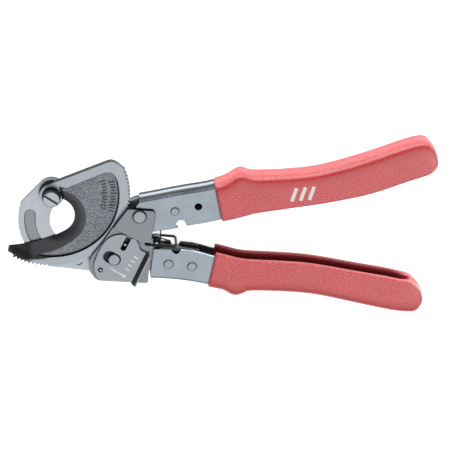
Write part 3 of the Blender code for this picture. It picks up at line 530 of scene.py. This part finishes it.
def add_sky(scene):
    """A grey dome whose brightness depends on how far a ray leans from overhead towards +Y."""
    world = bpy.data.worlds.new("studio")
    world.use_nodes = True
    tree = world.node_tree
    ray = tree.nodes.new("ShaderNodeSeparateXYZ")
    tree.links.new(tree.nodes.new("ShaderNodeTexCoord").outputs["Generated"], ray.inputs[0])
    lean = tree.nodes.new("ShaderNodeMath")
    lean.operation = "ARCTAN2"
    tree.links.new(ray.outputs[1], lean.inputs[0])
    tree.links.new(ray.outputs[2], lean.inputs[1])
    across = tree.nodes.new("ShaderNodeMapRange")
    across.inputs["From Min"].default_value = -math.pi / 2.0
    across.inputs["From Max"].default_value = math.pi / 2.0
    tree.links.new(lean.outputs[0], across.inputs["Value"])
    sky = tree.nodes.new("ShaderNodeValToRGB")
    for degrees, brightness in SKY:
        stop = sky.color_ramp.elements.new(degrees / 180.0 + 0.5)
        stop.color = (brightness, brightness, brightness * SKY_BLUE, 1.0)
    sky.color_ramp.elements.remove(sky.color_ramp.elements[0])
    sky.color_ramp.elements.remove(sky.color_ramp.elements[-1])
    tree.links.new(across.outputs["Result"], sky.inputs["Fac"])
    tree.links.new(sky.outputs["Color"], tree.nodes["Background"].inputs["Color"])
    scene.world = world


def add_lights(scene):
    middle = place(*LIT_POINT, 0.0)
    for name, offset, size, power in LIGHTS:
        data = bpy.data.lights.new(name, "AREA")
        data.shape = "RECTANGLE"
        data.size, data.size_y = size
        data.energy = power
        light = bpy.data.objects.new(name, data)
        light.location = middle + Vector(offset)
        light.rotation_mode = "QUATERNION"
        light.rotation_quaternion = (-Vector(offset)).to_track_quat("-Z", "Y")
        scene.collection.objects.link(light)


def add_floor(scene):
    build = bmesh.new()
    bmesh.ops.create_grid(build, x_segments=2, y_segments=2, size=FLOOR_HALF)
    mesh = bpy.data.meshes.new("floor")
    build.to_mesh(mesh)
    build.free()
    mesh.materials.append(pale_floor())
    floor = bpy.data.objects.new("floor", mesh)
    floor.location.z = -FLOOR_DROP
    scene.collection.objects.link(floor)


def studio():
    scene = bpy.context.scene
    scene.view_settings.view_transform = "Standard"
    add_camera(scene)
    add_sky(scene)
    add_lights(scene)
    add_floor(scene)


# ---------- steel parts ----------

def dress(obj, material, edge):
    """Gives a CAD node its material and small rounded edges, edge millimetres wide."""
    obj.data.materials.clear()
    obj.data.materials.append(material)
    if edge:
        weld = obj.modifiers.new("weld", "WELD")
        weld.merge_threshold = WELD * MM
        bevel = obj.modifiers.new("edge", "BEVEL")
        bevel.width = edge * MM
        bevel.segments = EDGE_SEGMENTS
        bevel.limit_method = "ANGLE"
        bevel.angle_limit = math.radians(EDGE_ANGLE_DEG)
        bevel.use_clamp_overlap = True
        bevel.harden_normals = True


def steel_parts(nodes):
    channel = steel("handle_steel_plated", (0.275, 0.312, 0.350), 0.20, 8.0, pits=0.2, side=0.07,
                    hole_shade_at=(*HANG_HOLE, 9.0, HANDLE_FACE - 0.2), crown_highlight=True)
    cover = steel("cover_steel_plated", (0.240, 0.258, 0.276), 0.36, wear=0.12, side=0.07,
                  dark_patch_at=(*RETAIN_PIVOT, 6.6))
    slide = steel("slide_steel_plated", (0.315, 0.335, 0.36), 0.34, -30.0, wear=0.25, side=0.07, rim=0.18)
    bolt = steel("turned_steel", (0.40, 0.42, 0.44), 0.30, 35.0, side=0.05, rim=0.15)
    rivet = steel("rivet_steel", (0.30, 0.325, 0.35), 0.30, pits=0.25, side=0.05, rim=0.12)
    black = steel("blackened_steel", (0.030, 0.032, 0.036), 0.34, metallic=0.7, wear=0.25)
    for material, edge, names in (
            (hook_steel(), 0.2, ["fixed_blade"]),
            (blade_steel(), 0.12, ["moving_blade"]),
            (channel, 0.25, ["upper_handle_channel", "lower_handle_channel"]),
            (cover, 0.2, ["front_cover", "back_cover"]),
            (slide, 0.12, ["release_slide"]),
            (bolt, 0.15, ["pivot_bolt", "pivot_washer"]),
            (rivet, 0.15, ["handle_pivot_rivet", "retaining_pawl_rivet", "tang_rivet_1", "tang_rivet_2",
                           "upper_handle_rivet", "upper_handle_spacer", "cover_rivet"]),
            (bolt, 0.1, ["drive_pawl_pin", "drive_pawl_lift_pin", "retaining_pawl_lift_pin",
                         "handle_spring_pin"]),
            (black, 0.2, ["drive_pawl", "retaining_pawl", "tang_spacer", "pivot_nut"]),
            (black, 0.0, ["latch_bail", "handle_spring", "drive_pawl_spring", "retaining_pawl_spring"])):
        for name in names:
            dress(nodes[name], material, edge)


# ---------- grips ----------

# Stations from the mouth to the tip, each the place of the back and of the opening in plan.
UPPER_GRIP = [((95.9, 8.3), (100.9, -15.5)), ((100.0, 9.4), (105.6, -14.4)),
              ((104.4, 11.5), (110.0, -13.3)), ((108.8, 14.6), (113.0, -12.4)),
              ((112.4, 15.6), (116.2, -11.5)), ((116.4, 14.2), (120.0, -10.4)),
              ((121.5, 13.6), (125.5, -9.3)), ((139.3, 14.4), (145.0, -6.2)),
              ((158.0, 16.8), (164.0, -3.1)), ((181.7, 23.7), (188.5, 2.4)),
              ((205.0, 32.4), (212.0, 11.0)), ((214.5, 35.5), (220.2, 13.9)),
              ((220.6, 35.9), (224.6, 15.8)), ((224.6, 32.9), (227.6, 18.6)),
              ((227.2, 29.4), (229.3, 21.6))]
LOWER_GRIP = [((93.4, -60.0), (98.0, -36.2)), ((98.4, -61.0), (101.5, -37.2)),
              ((103.4, -62.3), (105.5, -38.3)), ((107.6, -64.9), (109.4, -39.5)),
              ((111.4, -65.9), (112.9, -40.3)), ((115.6, -64.5), (117.0, -40.9)),
              ((120.6, -62.9), (121.4, -41.2)), ((142.4, -63.6), (142.0, -42.4)),
              ((160.5, -65.6), (158.6, -44.2)), ((187.5, -71.9), (185.0, -49.3)),
              ((205.5, -76.0), (201.5, -52.4)), ((215.0, -77.3), (211.5, -54.8)),
              ((221.5, -77.2), (217.4, -56.4)), ((225.0, -73.6), (222.0, -60.2)),
              ((226.3, -69.5), (225.0, -64.0))]


def grip_section(depth, half, floor, inner_half):
    """The C-shaped section, all round from the upper lip over the back to the cavity.

    Each point is (depth from the back, level, redness beside a back corner, darkness at the lips and in
    the cavity); the redness and the darkness are painted shade.
    """
    back = min(GRIP_BACK_CORNER, half * 0.9, depth * 0.4)
    lip = min(GRIP_LIP, (half - inner_half) * 0.48, depth * 0.3)
    brink = depth - INNER_ROUND
    low = -inner_half
    ring = []

    def corner(d, z, radius, start_deg):
        by_back = d < depth / 2.0
        for i in range(SECTION_CORNER_STEPS + 1):
            angle = math.radians(start_deg + 90.0 * i / SECTION_CORNER_STEPS)
            # Painted shade: deeper red up the back corners, darker round the outside of the lower lip.
            redness = ease((abs(math.sin(angle)) - SHADE_START) / SHADE_RISE) if by_back else 0.0
            dark = LIP_OUTSIDE * max(0.0, math.cos(angle)) if z < 0.0 and not by_back else 0.0
            ring.append((d + radius * math.cos(angle), z + radius * math.sin(angle), redness, dark))

    def face(d0, d1, z):
        for i in range(1, FACE_STEPS):
            d = lerp(d0, d1, i / FACE_STEPS)
            # Painted shade: the deeper red runs on over the face beside a back corner.
            ring.append((d, z, max(0.0, 1.0 - abs(d - back) / SHADE_REACH), 0.0))

    corner(depth - lip, half - lip, lip, 0.0)
    face(depth - lip, back, half)
    corner(back, half - back, back, 90.0)
    for i in range(1, BACK_STEPS):
        ring.append((0.0, lerp(half - back, -(half - back), i / BACK_STEPS), 0.0, 0.0))
    corner(back, -(half - back), back, 180.0)
    face(back, depth - lip, -half)
    corner(depth - lip, -(half - lip), lip, 270.0)
    # Painted shade at the lips, deepening to near black down inside the cavity.
    ring.append((depth, lerp(-(half - lip), low, 0.6), 0.0, LIP_LOW))
    ring.append((brink, low, 0.0, LIP_LOW_INSIDE))
    for i in range(1, CAVITY_STEPS + 1):
        t = i / CAVITY_STEPS
        ring.append((lerp(brink, floor, t), low, 0.0, lerp(LIP_LOW_INSIDE, 1.0, min(1.0, DARKENING * t))))
    for i in range(1, BACK_STEPS):
        ring.append((floor, lerp(low, inner_half, i / BACK_STEPS), 0.0, 1.0))
    for i in range(CAVITY_STEPS):
        ring.append((lerp(floor, brink, i / CAVITY_STEPS), inner_half, 0.0, 1.0))
    ring.append((brink, inner_half, 0.0, LIP_HIGH_INSIDE))
    ring.append((depth, lerp(half - lip, inner_half, 0.6), 0.0, LIP_HIGH))
    return ring


def grip(name, stations, body, replaced, material):
    """A dipped grip swept along its stations, open like the channel it covers and closed at the tip."""
    backs = spline([s[0] for s in stations], SPLINE_STEPS)
    opens = spline([s[1] for s in stations], SPLINE_STEPS)
    build = bmesh.new()
    # Painted shade per vertex, read by the vinyl: beside the back corners, and at the lips and in the
    # cavity.
    corner_shade_layer = build.verts.layers.float.new("corner")
    cavity_shade_layer = build.verts.layers.float.new("inside")
    rows = []
    for i, (back, opening) in enumerate(zip(backs, opens)):
        from_mouth = i / SPLINE_STEPS
        from_tip = (len(backs) - 1 - i) / SPLINE_STEPS
        axis = opening - back
        depth = axis.length
        axis = axis / depth
        rounding = math.sqrt(1.0 - max(0.0, 1.0 - from_tip / TIP_ROUND) ** TIP_POWER)
        half = GRIP_HALF * (1.0 - TIP_SHARE + TIP_SHARE * rounding)
        half -= MOUTH_STEP * (1.0 - ease(from_mouth / MOUTH_ROUND))
        closed = ease(1.0 - (from_tip - CLOSED_AT) / CLOSING)
        floor = min(lerp(GRIP_WALL, depth - TIP_WALL, closed), depth - TIP_WALL)
        inner_half = GRIP_INNER_HALF * (1.0 - 0.5 * closed)
        row = []
        for d, z, redness, dark in grip_section(depth, half, floor, inner_half):
            at = back + axis * d
            vert = build.verts.new(place(at.x, at.y, z))
            vert[corner_shade_layer] = redness
            vert[cavity_shade_layer] = dark * (1.0 - closed)
            row.append(vert)
        rows.append(row)
    size = len(rows[0])
    for near, far in zip(rows, rows[1:]):
        for k in range(size):
            build.faces.new((near[k], near[(k + 1) % size], far[(k + 1) % size], far[k]))
    build.faces.new(rows[0])
    build.faces.new(rows[-1])
    obj = mesh_object(name, build, material, body)
    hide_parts(*replaced)
    subdivide = obj.modifiers.new("round", "SUBSURF")
    subdivide.levels = 1
    subdivide.render_levels = 1


# ---------- generic marks ----------

def mark(name, outlines, surface, ink_and_shade, body, sunk=0.03, thick=0.07):
    """Thin marks, sunk below a surface and proud of it; each outline is a list of plan points."""
    bottom = surface - sunk
    build = bmesh.new()
    for outline in outlines:
        low = [build.verts.new(place(x, y, bottom)) for x, y in outline]
        high = [build.verts.new(place(x, y, bottom + thick)) for x, y in outline]
        build.faces.new(high)
        build.faces.new(low[::-1])
        for i in range(len(outline)):
            k = (i + 1) % len(outline)
            build.faces.new((low[i], low[k], high[k], high[i]))
    obj = mesh_object(name, build, ink_and_shade, body)
    for polygon in obj.data.polygons:
        polygon.use_smooth = False


def heading(degrees):
    """A unit vector in plan, turned from +X."""
    angle = math.radians(degrees)
    return Vector((math.cos(angle), math.sin(angle)))


def bar(middle, length, width, turn_deg):
    """A rectangle in plan, centred on middle and turned."""
    along = heading(turn_deg) * length / 2.0
    across = heading(turn_deg + 90.0) * width / 2.0
    return [middle - along - across, middle + along - across,
            middle + along + across, middle - along + across]


def blade_marks(ink_and_shade):
    """Two rows of engraved ticks beside the rim, with every fourth tick longer."""
    length = 2.8
    ticks = []
    for radius, first_deg, step_deg, count in ((36.4, 14.0, 3.0, 11), (31.4, 17.0, 3.6, 10)):
        for i in range(count):
            degrees = first_deg - step_deg * i
            size = length if i % 4 else length * 1.3
            ticks.append(bar(heading(degrees) * radius, size, width=0.85, turn_deg=degrees))
    mark("blade_scale_ticks", ticks, RECESS_LEVEL, ink_and_shade, "moving_blade", thick=0.06)


def hook_shadow_mark(ink_and_shade):
    """A small dark crescent on the hook's strip: a painted shadow of the moving blade's toothed edge."""
    outer_centre = Vector((15.4, -44.6))
    outer_radius = 3.2
    inner_centre = outer_centre + Vector((-0.15, 0.35))
    inner_radius = 2.9
    outer = [outer_centre + heading(-100.0 + 10.0 * i) * outer_radius for i in range(9)]
    inner = [inner_centre + heading(-20.0 - 10.0 * i) * inner_radius for i in range(9)]
    mark("hook_crescent_shadow", [outer + inner], HOOK_TOP, ink_and_shade, "frame", sunk=0.02, thick=0.04)


def slide_marks(ink_and_shade):
    """An arrow for the way the slide moves, and a row of plain bars."""
    start = Vector((34.8, -46.1))
    end = Vector((42.6, -51.0))
    head_length = 2.4
    head_half = 1.25
    first_bar = Vector((44.9, -46.9))
    last_bar = Vector((50.2, -39.0))
    along = (end - start).normalized()
    across = Vector((-along.y, along.x))
    turn = math.degrees(math.atan2(along.y, along.x))
    shaft = bar((start + end) / 2.0, (end - start).length, width=0.8, turn_deg=turn)
    head = [end + along * head_length, end + across * head_half, end - across * head_half]
    bars = [bar(first_bar.lerp(last_bar, i / 3.0), length=3.0, width=0.75, turn_deg=turn)
            for i in range(4)]
    mark("slide_arrow", [shaft, head, *bars], SLIDE_TOP, ink_and_shade, "release_slide")


def grip_marks(ink_and_shade):
    """Three plain slanted bars printed on the upper grip."""
    first = Vector((143.5, 2.6))
    step = Vector((5.2, 0.5))
    bars = [bar(first + step * i, length=9.0, width=2.1, turn_deg=74.0) for i in range(3)]
    mark("grip_print", bars, GRIP_HALF, ink_and_shade, "upper_handle", sunk=0.04)


# ---------- the script ----------

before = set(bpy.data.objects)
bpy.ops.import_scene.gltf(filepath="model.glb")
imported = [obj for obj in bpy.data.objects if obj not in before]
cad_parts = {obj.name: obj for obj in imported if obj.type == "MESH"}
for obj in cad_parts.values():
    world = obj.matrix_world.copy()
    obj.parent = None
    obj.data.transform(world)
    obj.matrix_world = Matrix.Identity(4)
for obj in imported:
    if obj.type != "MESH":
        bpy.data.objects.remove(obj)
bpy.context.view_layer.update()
studio()
vinyl_red = vinyl()
pale_ink = paint("pale_ink", (0.85, 0.85, 0.83), 0.5)
# A grey for the engraved ticks, also used for the hook's painted shadow crescent.
dark_ink_and_shadow = paint("engraved_grey_and_shadow", (0.045, 0.047, 0.05), 0.6)
steel_parts(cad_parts)
grip("upper_grip_soft", UPPER_GRIP, "upper_handle", ["upper_grip", "upper_grip_lining"], vinyl_red)
grip("lower_grip_soft", LOWER_GRIP, "frame", ["lower_grip", "lower_grip_lining"], vinyl_red)
blade_marks(dark_ink_and_shadow)
slide_marks(pale_ink)
# The hook's crescent is a painted shadow.
hook_shadow_mark(dark_ink_and_shadow)
grip_marks(pale_ink)
